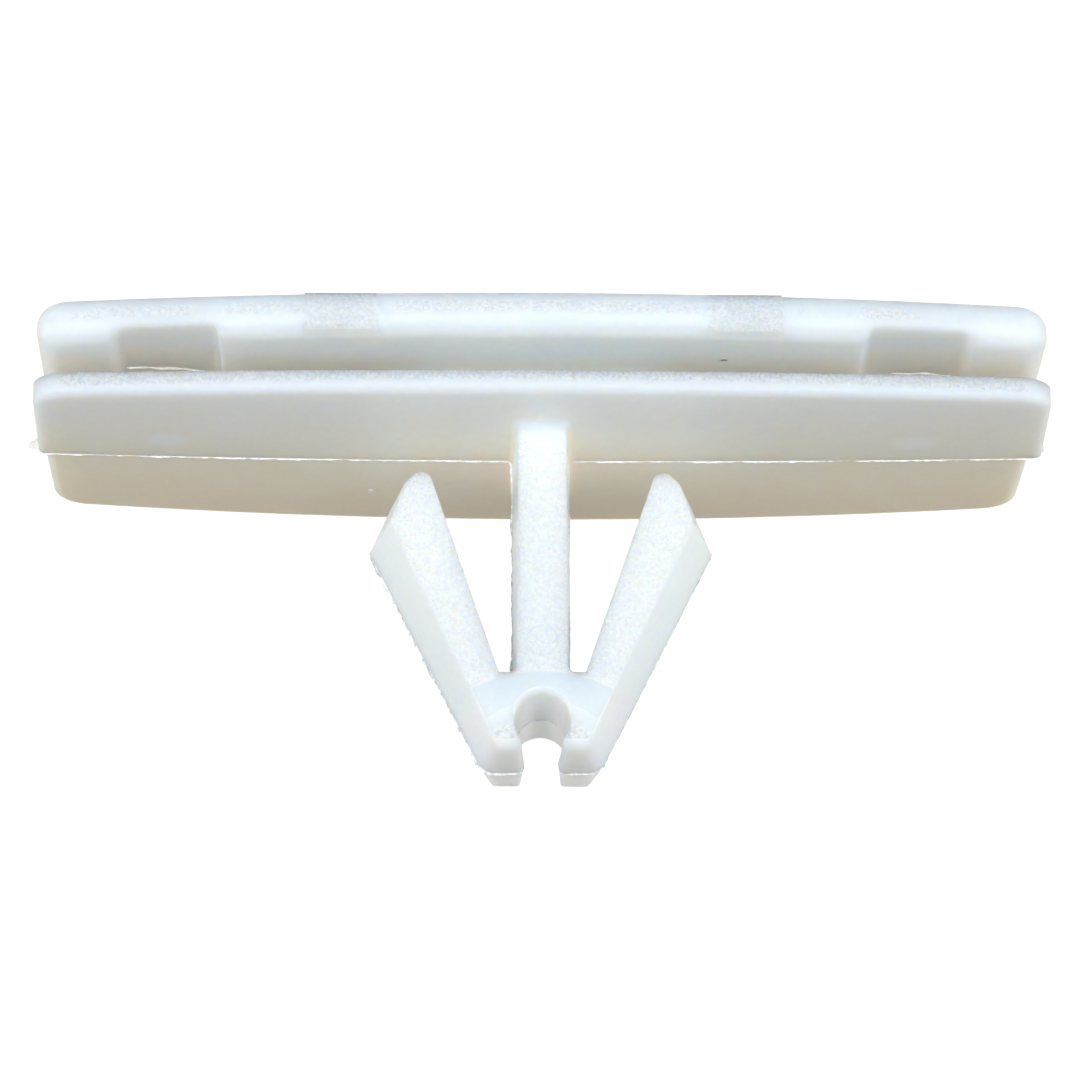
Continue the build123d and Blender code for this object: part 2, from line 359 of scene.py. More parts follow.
@dataclass(frozen=True)
class ConicalStep:
    """Polished conical step round the nose.

    Attributes:
        centre: Height of its middle, in mm.
        outer: Radius where it starts and where it is full, in mm.
        inner: Radius where it ends on the toes and where it is full, in mm.
        foot: Radii of the clear line at its foot, in mm; partly the polished step's colour, partly
            painted shade over the light band on the rounded corner.
        foot_shade_fade: Width over which that line fades, in mm.
        foot_shade_share: Strength of that line.
        foot_shade_facing: Mask of the front faces from which that line starts, and where it is
            full.
    """

    centre: float = 25.4
    outer: Edge = (7.2, 7.05)
    inner: Edge = (5.0, 5.15)
    foot: Edge = (4.95, 5.55)
    foot_shade_fade: float = 0.3
    foot_shade_share: float = 0.75
    foot_shade_facing: Edge = (0.05, 0.3)

    def mask(self, board: SkinBoard, front: Socket) -> Socket:
        """Lays the nodes that find the step.

        Args:
            board: Board of the material.
            front: Mask of the faces that look along Y.

        Returns:
            Mask of the step and of the line at its foot, which is partly painted shade.
        """
        radius = board.from_axis(0.0, self.centre)
        cone = board.product(front, board.span(radius, self.outer), board.span(radius, self.inner))
        # Foot line: clear colour on the rounded corner, partly the polished step's and partly
        # painted shade over the light it catches.
        foot = board.between(radius, self.foot, self.foot_shade_fade)
        foot = board.product(foot, board.span(front, self.foot_shade_facing), self.foot_shade_share)
        return board.most(cone, foot)


@dataclass(frozen=True)
class ErodedZones:
    """Faces where the mould was spark-eroded rather than polished.

    Attributes:
        pads: Ends of the pads, from the middle along X, in mm.
        front_half: Y where the front half starts and where it is full, in mm.
        whole: X within which the line along the head plate is whole, in mm.
        breaks: Noise at which that line breaks and at which it is full.
        line: Heights of that line, in mm.
        line_fade: Height over which it fades, in mm.
        head: Height where the head plate starts and where it is full, in mm.
        rim: Heights of the lower part of the seat plate's rim, in mm.
        rim_fade: Height over which it fades, in mm.
        anchor: Height where the anchor starts and where it is full, in mm.
    """

    pads: Edge = (8.1, 11.8)
    front_half: Edge = (0.5, -0.5)
    whole: Edge = (7.6, 6.9)
    breaks: Edge = (0.46, 0.54)
    line: Edge = (0.6, 1.25)
    line_fade: float = 0.15
    head: Edge = HEAD_PLATE
    rim: Edge = (3.9, 4.8)
    rim_fade: float = 0.2
    anchor: Edge = (6.0, 6.6)

    def mask(self, board: SkinBoard) -> Socket:
        """Lays the nodes that find the zones.

        Args:
            board: Board of the material.

        Returns:
            Mask of the zones, which counts on the faces that look along Y.
        """
        pads = board.between(board.off, self.pads)
        pads = board.product(pads, board.span(board.y, self.front_half))
        broken = board.span(board.speckle(Speckle.BREAKS), self.breaks)
        line = board.most(board.span(board.off, self.whole), broken)
        line = board.product(line, board.between(board.z, self.line, self.line_fade))
        head = board.product(board.most(pads, line), board.span(board.z, self.head))
        rim = board.between(board.z, self.rim, self.rim_fade)
        return board.most(head, rim, board.span(board.z, self.anchor))


@dataclass(frozen=True)
class RimTintAndPaintedShade:
    """Cool tint on the plates' front rims and other faces that look along Y, and painted warm shade
    on their faces that look away from Y, deeper towards the back.

    Attributes:
        rim: Cool colour blended into the plates' faces that look along Y.
        cream_shade: Colour of the first layer of painted warm shade on the faces that look away
            from Y.
        warm: Colour of the second, deeper layer of painted warm shade, towards the back.
        away: Share of the normal along Y where those faces start and where they are full.
        plates: Height where the plates start and where they are full, in mm.
        rim_share: Share of the cool colour on those faces.
        wander: How far noise moves the edges of the painted shade, in mm.
        cream_shade_depth: Y where the first layer of painted shade starts and where it is full, in
            mm.
        warm_shade_depth: Y where the second layer starts and where it is full, in mm.
        groove: Y where the first layer starts and where it is full in the groove, in mm.
        groove_height: Height where the groove's floor starts and where it is full, in mm.
        groove_shade_share: Share of the first layer in the groove.
        end_facing: Share of the normal along X where the plate ends start and are full.
        end_place: Distance from the middle where the plate ends start and are full, in mm.
        end_cream_shade: Least share of the first layer at the plate ends, painted shade on their
            end faces.
        end_warm_shade: Least share of the second layer there.
    """

    rim: Rgb = CLEAR_NYLON
    cream_shade: Rgb = (0.945, 0.84, 0.7)
    warm: Rgb = (0.955, 0.7, 0.5)
    away: Edge = (0.75, 0.2)
    plates: Edge = (6.3, 5.8)
    rim_share: float = 0.3
    wander: float = 5.0
    cream_shade_depth: Edge = (-8.0, 3.0)
    warm_shade_depth: Edge = (1.5, 11.0)
    groove: Edge = (-6.2, -4.4)
    groove_height: Edge = HEAD_PLATE
    groove_shade_share: float = 0.6
    end_facing: Edge = (0.6, 0.9)
    end_place: Edge = (22.0, 23.0)
    end_cream_shade: float = 0.7
    end_warm_shade: float = 0.15

    def lay(self, board: SkinBoard, base: Socket) -> Socket:
        """Lays the cool rim tint and the painted warm shade over a colour.

        Args:
            board: Board of the material.
            base: Colour under them.

        Returns:
            Colour with the tint and the painted shade.
        """
        away = board.span(board.facing[1], self.away)
        plates = board.span(board.z, self.plates)
        rims = board.product(board.less(away), plates, self.rim_share)
        base = board.blend(rims, base, rgba(self.rim))
        # Painted warm shade: two layers that grow with depth along Y, with noise on their edges.
        # The groove under the head plate and the plate ends get it too.
        wandering_depth = board.speckle(Speckle.SHADE_WANDER)
        wandering_depth = board.math("MULTIPLY_ADD", wandering_depth, self.wander, board.y)
        ends = board.span(board.facing[0], self.end_facing)
        ends = board.product(ends, board.span(board.off, self.end_place))
        groove = board.product(board.span(board.y, self.groove), self.groove_shade_share)
        cream_shade = board.span(wandering_depth, self.cream_shade_depth, smooth=False)
        cream_shade = board.blend(board.span(board.z, self.groove_height), cream_shade, groove)
        cream_shade = board.most(cream_shade, board.product(ends, self.end_cream_shade))
        base = board.blend(board.product(away, plates, cream_shade), base, rgba(self.cream_shade))
        warm = board.span(wandering_depth, self.warm_shade_depth, smooth=False)
        warm = board.most(warm, board.product(ends, self.end_warm_shade))
        return board.blend(board.product(away, plates, warm), base, rgba(self.warm))


@dataclass(frozen=True)
class GlintBand:
    """Stretch of heights where the grain's speckle gets more contrast: painted glints.

    Attributes:
        extra: Contrast that it adds.
        heights: Its ends, in mm.
        fade: Height over which it fades, in mm.
    """

    extra: float
    heights: Edge
    fade: float = 0.4


@dataclass(frozen=True)
class NylonFinish:
    """Natural nylon: translucent white, polished where the cores slid, spark-eroded in front.

    Attributes:
        name: Name of the material.
        pale: Colour of the smooth walls where the nylon is clearer.
        dense: Colour of the smooth walls where it is milkier.
        clouds: Noise at which the milky clouds start and at which they are full.
        frosted: Colour of the grained faces, which scatter more.
        clear: Colour of the polished step and of the rims of the pin marks.
        nose: Painted light on the nose: near-white colour that stands in for light shining through
            its thin walls.
        nose_light_height: Height where that painted light starts and where it is full, in mm.
        nose_light_share: Its share at the nose.
        polished: Roughness of the smooth walls.
        eroded: Roughness of the grained faces.
        wisps: How far noise moves the roughness.
        specular: Strength of the reflections.
        scatter: Mean way of red light in the nylon, in mm.
        scatter_shares: Ways of red, green and blue light as shares of it.
        front: Share of the normal along Y where the front faces start and where they are full.
        step: The polished step and its foot line, which is partly painted shade.
        grain: Where the mould was eroded.
        rim_tint_and_shade: Cool tint of the plates' rims and painted warm shade deeper in.
        soft_edge: Radius of the soft edges, in mm.
        soft_nose: What the nose adds to it, in mm.
        soft_nose_height: Height where it starts to and where it does so in full, in mm.
        contrast: Contrast of the grain's speckle, partly its own mottling and partly painted
            glints.
        glint_bands: Heights where the speckle shows more of it, as painted glints.
        grain_and_glints: Noise at which the dark side of the speckle starts and at which it is
            full.
        pins: Pin marks.
        pin_share: Share of the clear colour on their rims.
        sheen_patches: Painted sheen, lighter patches near the ends of the seat plate.
        fleck: Dark fleck in the head plate.
        mottling: Least brightness of the fine mottling and what noise adds to it.
        flow: Strength and depth in mm of the flow marks.
        pits_scale: Pits of the grain for each mm.
        pits_depth: Their depth, in mm.
        pits_strength: Their strength on the smooth walls and on the grained faces.
    """

    name: str = "natural_nylon_moulded"
    pale: Rgb = (0.85, 0.91, 0.94)
    dense: Rgb = (0.875, 0.925, 0.945)
    clouds: Edge = (0.38, 0.64)
    frosted: Rgb = (0.91, 0.955, 0.965)
    clear: Rgb = CLEAR_NYLON
    # Painted light: near-white nose, standing in for light shining through its thin walls.
    nose: Rgb = (0.975, 0.985, 0.99)
    nose_light_height: Edge = (19.2, 20.2)
    nose_light_share: float = 0.85
    polished: float = 0.36
    eroded: float = 0.5
    wisps: float = 0.08
    specular: float = 0.4
    scatter: float = 3.8
    scatter_shares: Triple = (1.0, 0.76, 0.52)
    front: Edge = (0.93, 0.985)
    step: ConicalStep = ConicalStep()
    grain: ErodedZones = ErodedZones()
    rim_tint_and_shade: RimTintAndPaintedShade = RimTintAndPaintedShade()
    soft_edge: float = 0.6
    soft_nose: float = 0.6
    soft_nose_height: Edge = (19.6, 20.6)
    contrast: float = 0.06
    # Painted glints along the head plate's front, the seat plate's rim and the toes.
    glint_bands: tuple[GlintBand, ...] = (
        GlintBand(0.05, (-1.0, 2.6)), GlintBand(0.11, (3.8, 5.5)), GlintBand(0.14, (19.8, 23.0)),
    )
    grain_and_glints: Edge = (0.36, 0.64)
    pins: tuple[PinMark, ...] = (
        PinMark(6.15, 11.15, 0.95), PinMark(-6.15, 11.15, 0.95), PinMark(0.0, 16.7, 0.75),
    )
    pin_share: float = 0.35
    # Painted sheen: lighter patches near the ends of the seat plate.
    sheen_patches: tuple[Spot, ...] = tuple(
        Spot((x, -2.15, 5.6), (1.8, 1.2, 1.0), (0.985, 0.95, 0.9), edge=(1.0, 0.2), share=0.8)
        for x in (-18.7, 18.7)
    )
    fleck: Spot = Spot(
        (-9.0, -5.15, 2.3), (0.24, 0.12, 0.1), (0.2, 0.19, 0.18), edge=(1.75, 1.15), ragged=1.2
    )
    mottling: Pair = (0.97, 0.06)
    flow: Pair = (0.25, 0.05)
    pits_scale: float = 5.6
    pits_depth: float = 0.09
    pits_strength: Pair = (0.05, 0.98)

    def colour(self, board: SkinBoard, grain: Socket, step: Socket, rings: Socket) -> Socket:
        """Lays milky clouds, the cool rim tint and painted warm shade, painted light on the nose,
        painted sheen, frosted grain with painted glints, the clear parts and the fleck.

        Args:
            board: Board of the material.
            grain: Mask of the grained faces.
            step: Mask of the polished step.
            rings: Mask of the pin marks' rims.

        Returns:
            Colour socket.
        """
        clouds = board.span(board.speckle(Speckle.CLOUDS), self.clouds)
        base = board.blend(clouds, rgba(self.pale), rgba(self.dense))
        # Cool rim tint and painted warm shade on the plates.
        base = self.rim_tint_and_shade.lay(board, base)
        # Painted light on the nose, where light shines through the thin walls.
        tip = board.product(board.span(board.z, self.nose_light_height), self.nose_light_share)
        base = board.blend(tip, base, rgba(self.nose))
        # Painted sheen patches.
        for sheen_patch in self.sheen_patches:
            base = sheen_patch.lay(board, base)
        # Grain speckle: partly the eroded grain's own mottling and partly painted glints, stronger
        # in the glint bands.
        contrast = self.contrast
        for glint_band in self.glint_bands:
            inside = board.between(board.z, glint_band.heights, glint_band.fade)
            contrast = board.math("MULTIPLY_ADD", inside, glint_band.extra, contrast)
        grain_and_glints = board.span(board.speckle(Speckle.GRAIN_AND_GLINTS), self.grain_and_glints)
        shade = board.less(board.product(contrast, grain_and_glints))
        base = board.blend(grain, base, board.vector("MULTIPLY", self.frosted, shade))
        base = board.blend(step, base, rgba(self.clear))
        base = board.blend(board.product(rings, self.pin_share), base, rgba(self.clear))
        least, swing = self.mottling
        fine = board.math("MULTIPLY_ADD", board.speckle(Speckle.MOTTLING), swing, least)
        base = board.vector("MULTIPLY", base, fine)
        return self.fleck.lay(board, base)

    def relief(self, board: SkinBoard, grain: Socket) -> Socket:
        """Rounds the sharp edges and raises the eroded grain and the faint flow marks.

        Args:
            board: Board of the material.
            grain: Mask of the grained faces.

        Returns:
            Normal socket.
        """
        nose = board.span(board.z, self.soft_nose_height)
        radius = board.math("MULTIPLY_ADD", nose, self.soft_nose * MM, self.soft_edge * MM)
        rounded = board.add("Bevel", {"Radius": radius}, samples=4).outputs[0]
        flow = board.bump(board.speckle(Speckle.FLOW), *self.flow, Normal=rounded)
        pits = board.add("TexVoronoi", {"Vector": board.place, "Scale": self.pits_scale}).outputs[0]
        height = board.math("ADD", pits, board.speckle(Speckle.DUST))
        least, most = self.pits_strength
        strength = board.math("MULTIPLY_ADD", grain, most - least, least)
        return board.bump(height, strength, self.pits_depth, Normal=flow)

    def shade(self, board: SkinBoard) -> Socket:
        """Lays the whole finish.

        Args:
            board: Board of the material.

        Returns:
            Shader socket.
        """
        front = board.span(board.facing[1], self.front)
        step = self.step.mask(board, front)
        grain = board.product(front, board.less(step), self.grain.mask(board))
        rings = board.product(board.most(*[pin.mask(board) for pin in self.pins]), front)
        rough = board.math("MULTIPLY_ADD", grain, self.eroded - self.polished, self.polished)
        wisps = board.speckle(Speckle.WISPS)
        wisps = board.math("MULTIPLY_ADD", wisps, 2 * self.wisps, -self.wisps)
        shader = board.add(
            "BsdfPrincipled",
            {
                "Base Color": self.colour(board, grain, step, rings),
                "Roughness": board.math("ADD", rough, wisps),
                "IOR": NYLON_IOR,
                "Specular IOR Level": self.specular,
                "Subsurface Weight": 1.0,
                "Subsurface Radius": self.scatter_shares,
                "Subsurface Scale": self.scatter * MM,
                "Normal": self.relief(board, grain),
            },
        )
        return shader.outputs[0]

    def material(self) -> bpy.types.Material:
        """Returns a new material with the finish."""
        return new_material(self.name, self.shade)


@dataclass(frozen=True)
class FlashFinish:
    """Thin moulding flash: the same nylon, clearer and brighter as it is so thin.

    Attributes:
        name: Name of the material.
        thin: Colour of its thin parts on the plates.
        anchor_thin_and_shade: Colour of its thin parts on the anchor, darker grey, partly the thin
            flash's clearness and partly painted shade outlining its beads.
        anchor: Height where the anchor starts and where it is full, in mm.
        thick: Colour of its beads.
        beads: Noise at which the beads start and at which they are full.
        roughness: Roughness of its thin parts and of its beads.
        scatter: Mean way of light in it, in mm.
        scatter_shares: Ways of red, green and blue light as shares of it.
        scatter_weight: Share of the light that it scatters.
        bump: Strength and depth in mm of its unevenness.
    """

    name: str = "natural_nylon_flash"
    thin: Rgb = (0.78, 0.775, 0.76)
    anchor_thin_and_shade: Rgb = (0.48, 0.52, 0.54)
    anchor: Edge = (7.0, 8.0)
    thick: Rgb = (0.96, 0.965, 0.96)
    beads: Edge = (0.35, 0.65)
    roughness: Pair = (0.5, 0.35)
    scatter: float = 0.3
    scatter_shares: Triple = (1.0, 1.0, 0.95)
    scatter_weight: float = 0.2
    bump: Pair = (0.3, 0.02)

    def shade(self, board: SkinBoard) -> Socket:
        """Lays the whole finish.

        Args:
            board: Board of the material.

        Returns:
            Shader socket.
        """
        beads = board.span(board.speckle(Speckle.BEADS), self.beads)
        anchor = board.span(board.z, self.anchor)
        # On the anchor the thin flash is darker grey, partly painted shade that outlines the beads.
        thin = board.blend(anchor, rgba(self.thin), rgba(self.anchor_thin_and_shade))
        dull, glossy = self.roughness
        shader = board.add(
            "BsdfPrincipled",
            {
                "Base Color": board.blend(beads, thin, rgba(self.thick)),
                "Roughness": board.math("MULTIPLY_ADD", beads, glossy - dull, dull),
                "IOR": NYLON_IOR,
                "Subsurface Weight": self.scatter_weight,
                "Subsurface Radius": self.scatter_shares,
                "Subsurface Scale": self.scatter * MM,
                "Normal": board.bump(board.speckle(Speckle.RIPPLES), *self.bump),
            },
        )
        return shader.outputs[0]

    def material(self) -> bpy.types.Material:
        """Returns a new material with the finish."""
        return new_material(self.name, self.shade)


def finish_piece(name: str, shape: BMesh, material: bpy.types.Material) -> bpy.types.Object:
    """Turns a bmesh into a piece that moves with the clip.

    Args:
        name: Name of the piece.
        shape: Its mesh, in metres in the row frame. It is freed here.
        material: Its finish.

    Returns:
        The finished object.
    """
    bmesh.ops.recalc_face_normals(shape, faces=shape.faces)
    mesh = bpy.data.meshes.new(name)
    shape.to_mesh(mesh)
    shape.free()
    mesh.materials.append(material)
    piece = new_object(name, mesh)
    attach(piece, BODY)
    LOG.info("piece %s: %d faces", name, len(mesh.polygons))
    return piece


@dataclass
class MouldedBody:
    """The clip itself, whose CAD shape stays and takes the nylon finish.

    Attributes:
        node: Its CAD node.
        finish: Its finish.
    """

    node: bpy.types.Object
    finish: NylonFinish = NylonFinish()

    def dress(self) -> None:
        """Puts the nylon on every material slot of the node."""
        material = self.finish.material()
        if not self.node.material_slots:
            self.node.data.materials.append(material)
        for place in self.node.material_slots:
            place.material = material
        LOG.info("piece %s: %d faces", self.node.name, len(self.node.data.polygons))


@dataclass(frozen=True)
class Station:
    """One place on the parting line.

    Attributes:
        point: Place on the outline, in mm.
        outward: Direction away from the body, square to Y.
        along: Distance run along the outline, in mm.
    """

    point: Vector
    outward: Vector
    along: float


@dataclass(frozen=True)
class Nib:
    """Place where the flash runs out into a thin fin at the end of the seat plate.

    Attributes:
        side: 1 for the end at +X and -1 for the other.
        level: Height of its middle, in mm.
        reach: How far it stands out, in mm.
        spread: Half of its height up and down, in mm.
        facing: Least share of the outward direction along X where it stands.
        past: Distance from the middle past which it stands, in mm.
    """

    side: float
    level: float
    reach: float
    spread: float
    facing: float = 0.8
    past: float = 20.0

    def height(self, station: Station) -> float:
        """Works out what the fin adds to the flash.

        Args:
            station: Place on the parting line.

        Returns:
            The added height, in mm.
        """
        if station.outward.x * self.side < self.facing or abs(station.point.x) < self.past:
            return 0.0
        return self.reach * math.exp(-(((station.point.z - self.level) / self.spread) ** 2))


@dataclass(frozen=True)
class Wave:
    """Noise by which the flash rises and falls along the outline.

    Attributes:
        rate: Its steps for each mm.
        row: Row of the noise that it follows.
        share: Its share of the mean height.
    """

    rate: float
    row: float
    share: float

    def rise(self, along: float) -> float:
        """Returns its share of the height at a distance along the outline."""
        return self.share * noise.noise(Vector((along * self.rate, self.row, 0)))


@dataclass
class PartingFlash:
    """Fine, uneven ridge where the mould halves met, all round the clip.

    Attributes:
        node: CAD node that the outline is cut from.
        plane: Y of the cut, just inside the front half, in mm.
        weld: Distance within which the node's corners are joined, in mm.
        merge: Distance within which the outline's points are joined, in mm.
        step: Distance between stations, in mm.
        half_width: Half of its width across the parting plane, in mm.
        sunk: Depth of its foot below the surface, in mm.
        lean: How far its tip leans to either side, in half widths.
        lean_rate: Steps of the lean's noise for each mm.
        lean_row: Row of noise that the lean follows.
        panel_level: Height of the seat plate's panel face, in mm.
        panel_bow: How far that face leaves its level, in mm.
        leg_rise: Least height of the legs' flash above it, in mm.
        toe_rise: Least height of the toes' flash above it, in mm.
        stem_rise: Greatest height of the stem's flash above it, in mm.
        stem_half: Half width of the stem, in mm.
        stem_near: How far from the stem's side its flash lies, in mm.
        leg_off: Distance from the middle past which the legs lie, in half widths of the stem.
        level_face: Least upward share of the outward direction on the panel face.
        toe_face: Least upward share of the outward direction on the toes.
        floor_gap: Height above the floor below which there is none, in mm.
        steady: Share of the mean height that does not rise and fall.
        waves: Noise that makes the rest.
        nibs: Places at the plate ends where it runs out into a thin fin.
    """

    node: bpy.types.Object
    plane: float = -0.012
    weld: float = 0.0005
    merge: float = 0.002
    step: float = 0.12
    half_width: float = 0.05
    sunk: float = 0.04
    lean: float = 0.4
    lean_rate: float = 0.8
    lean_row: float = 5.5
    panel_level: float = 5.7
    panel_bow: float = 0.5
    leg_rise: float = 4.5
    toe_rise: float = 15.5
    stem_rise: float = 12.0
    stem_half: float = 1.425
    stem_near: float = 0.15
    leg_off: float = 1.5
    level_face: float = 0.9
    toe_face: float = 0.5
    floor_gap: float = 1.2
    steady: float = 0.8
    waves: tuple[Wave, ...] = (Wave(0.35, 3.1, 0.9), Wave(1.9, 7.7, 0.7), Wave(4.3, 1.3, 0.8))
    nibs: tuple[Nib, ...] = (Nib(1.0, 4.95, 0.5, 0.24), Nib(-1.0, 4.9, 0.12, 0.3))

    def outline(self) -> list[Vector]:
        """Cuts the node on the parting plane.

        Returns:
            The points of the closed outline in order from its end at +X, in mm.
        """
        cut = bmesh.new()
        cut.from_mesh(self.node.data)
        bmesh.ops.remove_doubles(cut, verts=cut.verts, dist=self.weld * MM)
        bmesh.ops.bisect_plane(
            cut,
            geom=[*cut.verts, *cut.edges, *cut.faces],
            plane_co=(0, self.plane * MM, 0),
            plane_no=(0, 1, 0),
            clear_inner=True,
            clear_outer=True,
        )
        bmesh.ops.remove_doubles(cut, verts=cut.verts, dist=self.merge * MM)
        loops = []
        left = set(cut.edges)
        while left:
            edge = left.pop()
            loop = [edge.verts[0], edge.verts[1]]
            while True:
                onward = [e for e in loop[-1].link_edges if e in left]
                if not onward:
                    break
                left.discard(onward[0])
                loop.append(onward[0].other_vert(loop[-1]))
            loops.append([v.co / MM for v in loop])
        cut.free()
        points = max(loops, key=len)[:-1]
        first = points.index(max(points, key=lambda point: (point.x, point.z)))
        return [*points[first:], *points[: first + 1]]

    def stations(self) -> list[Station]:
        """Spaces stations evenly round the outline.

        Returns:
            The stations, in order round the clip.
        """
        points = self.outline()
        if sum(a.x * b.z - b.x * a.z for a, b in zip(points, points[1:])) < 0:
            points.reverse()
        found = []
        run = 0.0
        due = 0.0
        for a, b in zip(points, points[1:]):
            length = (b - a).length
            direction = (b - a).normalized()
            outward = Vector((direction.z, 0, -direction.x))
            while due < run + length:
                found.append(Station(a + direction * (due - run), outward, due))
                due += self.step
            run += length
        return found

    def stretch(self, station: Station) -> Stretch:
        """Finds the stretch of the parting line that a station lies on.

        Args:
            station: Place on the parting line.

        Returns:
            Its stretch.
        """
        point, outward = station.point, station.outward
        above = point.z - self.panel_level
        off = abs(point.x) / self.stem_half
        if point.z < self.floor_gap:
            return Stretch.NONE
        if abs(above) < self.panel_bow and outward.z > self.level_face:
            return Stretch.PANEL_FACE
        if above > self.toe_rise and outward.z > self.toe_face:
            return Stretch.TOE
        if above > self.leg_rise and outward.x * point.x > 0 and off > self.leg_off:
            return Stretch.LEFT_LEG if point.x > 0 else Stretch.RIGHT_LEG
        if 0 < above < self.stem_rise and abs(point.x - self.stem_half) < self.stem_near:
            return Stretch.STEM_SIDE
        return Stretch.ELSEWHERE

    def height(self, station: Station) -> float:
        """Works out how high the ridge stands.

        Args:
            station: Place on the parting line.

        Returns:
            The height in mm, below zero where there is no ridge.
        """
        share = self.steady
        for wave in self.waves:
            share += wave.rise(station.along)
        fin = sum(nib.height(station) for nib in self.nibs)
        return self.stretch(station).value * share + fin

    def profile(self, station: Station) -> list[Vector]:
        """Works out the three corners of the ridge.

        Args:
            station: Place on the parting line.

        Returns:
            The corners at its foot, tip and foot, in metres.
        """
        foot = station.point - station.outward * self.sunk
        swing = noise.noise(Vector((station.along * self.lean_rate, 0, self.lean_row)))
        lean = Vector((0, self.lean * self.half_width * swing, 0))
        tip = station.point + station.outward * self.height(station)
        side = Vector((0, self.half_width, 0))
        return [(foot - side) * MM, (tip + lean) * MM, (foot + side) * MM]

    def build(self, material: bpy.types.Material) -> bpy.types.Object:
        """Sweeps the ridge along the outline by extruding its profile from station to station.

        Args:
            material: Finish of the flash.

        Returns:
            The finished piece.
        """
        stations = self.stations()
        shape = bmesh.new()
        ring = [shape.verts.new(corner) for corner in self.profile(stations[0])]
        edges = [shape.edges.new((ring[i], ring[(i + 1) % 3])) for i in range(3)]
        for station in stations[1:]:
            grown = bmesh.ops.extrude_edge_only(shape, edges=edges)["geom"]
            fresh = [part for part in grown if isinstance(part, BMVert)]
            grown = [part for part in grown if isinstance(part, BMEdge)]
            edges = [e for e in grown if e.verts[0] in fresh and e.verts[1] in fresh]
            ring = [min(fresh, key=lambda v: (v.co - old.co).length) for old in ring]
            for vert, corner in zip(ring, self.profile(station)):
                vert.co = corner
        rims = [e for e in shape.edges if e.is_boundary]
        LOG.info("flash rims left to close: %d", len(rims))
        bmesh.ops.bridge_loops(shape, edges=rims)
        return finish_piece("parting_flash", shape, material)


@dataclass
class WindowSliver:
    """Thin sliver of flash across the floor of a window under the head plate.

    Attributes:
        name: Name of the piece.
        start: Its inner end, in mm.
        end: Its outer end, in mm.
        height: How high it stands, in mm.
        width: Its width, in mm.
        sunk: Depth of its foot below the surface, in mm.
        cuts: Number of cuts along it, which lets its crest wander.
        crest: Mean height of its crest as a share of the height.
        crest_swing: How far the crest rises and falls, as such a share.
        crest_rate: Steps of the crest's noise along it.
        taper: Rise of its ends, in heights over its length.
        sway: How far it wanders to either side, in mm.
        sway_rate: Steps of that noise along it.
    """

    name: str
    start: Triple
    end: Triple
    height: float = 0.16
    width: float = 0.09
    sunk: float = 0.03
    cuts: int = 24
    crest: float = 0.55
    crest_swing: float = 0.6
    crest_rate: float = 9.0
    taper: float = 8.0
    sway: float = 0.3
    sway_rate: float = 4.0

    def build(self, material: bpy.types.Material) -> bpy.types.Object:
        """Cuts a thin bar into short lengths and lets its crest rise and fall.

        Args:
            material: Finish of the flash.

        Returns:
            The finished piece.
        """
        shape = bmesh.new()
        bmesh.ops.create_cube(shape, size=1.0)
        long_edges = [e for e in shape.edges if e.verts[0].co.x != e.verts[1].co.x]
        bmesh.ops.subdivide_edges(shape, edges=long_edges, cuts=self.cuts, use_grid_fill=True)
        start, end = Vector(self.start), Vector(self.end)
        for vert in shape.verts:
            along = vert.co.x + 0.5
            swing = noise.noise(Vector((along * self.crest_rate, start.x, 0)))
            crest = self.crest + self.crest_swing * swing
            taper = min(1.0, self.taper * along, self.taper * (1 - along))
            sway = self.sway * noise.noise(Vector((along * self.sway_rate, 0, start.x)))
            up = self.height * crest * taper if vert.co.z > 0 else -self.sunk
            place = start.lerp(end, along) + Vector((0, vert.co.y * self.width + sway, up))
            vert.co = place * MM
        return finish_piece(self.name, shape, material)


@dataclass
class GatePip:
    """Tiny pip left on the panel face of the seat plate.

    Attributes:
        place: Its middle on the surface, in mm.
        radius: Its radius along X, in mm.
        height: How high it stands, in mm.
        stretched: Its radius along Y, in radii.
        uneven: How far noise moves its surface, in radii.
        rate: Steps of that noise for each radius.
    """

    place: Triple = (8.6, 4.4, 5.56)
    radius: float = 0.16
    height: float = 0.06
    stretched: float = 1.3
    uneven: float = 0.35
    rate: float = 1.7

    def build(self, material: bpy.types.Material) -> bpy.types.Object:
        """Flattens a small ball into an uneven pip.

        Args:
            material: Finish of the flash.

        Returns:
            The finished piece.
        """
        shape = bmesh.new()
        bmesh.ops.create_icosphere(shape, subdivisions=3, radius=1.0)
        for vert in shape.verts:
            vert.co *= 1.0 + self.uneven * noise.noise(vert.co * self.rate)
        size = Vector((self.radius, self.stretched * self.radius, self.height))
        bmesh.ops.scale(shape, vec=size * MM, verts=shape.verts)
        bmesh.ops.translate(shape, vec=Vector(self.place) * MM, verts=shape.verts)
        return finish_piece("gate_pip", shape, material)


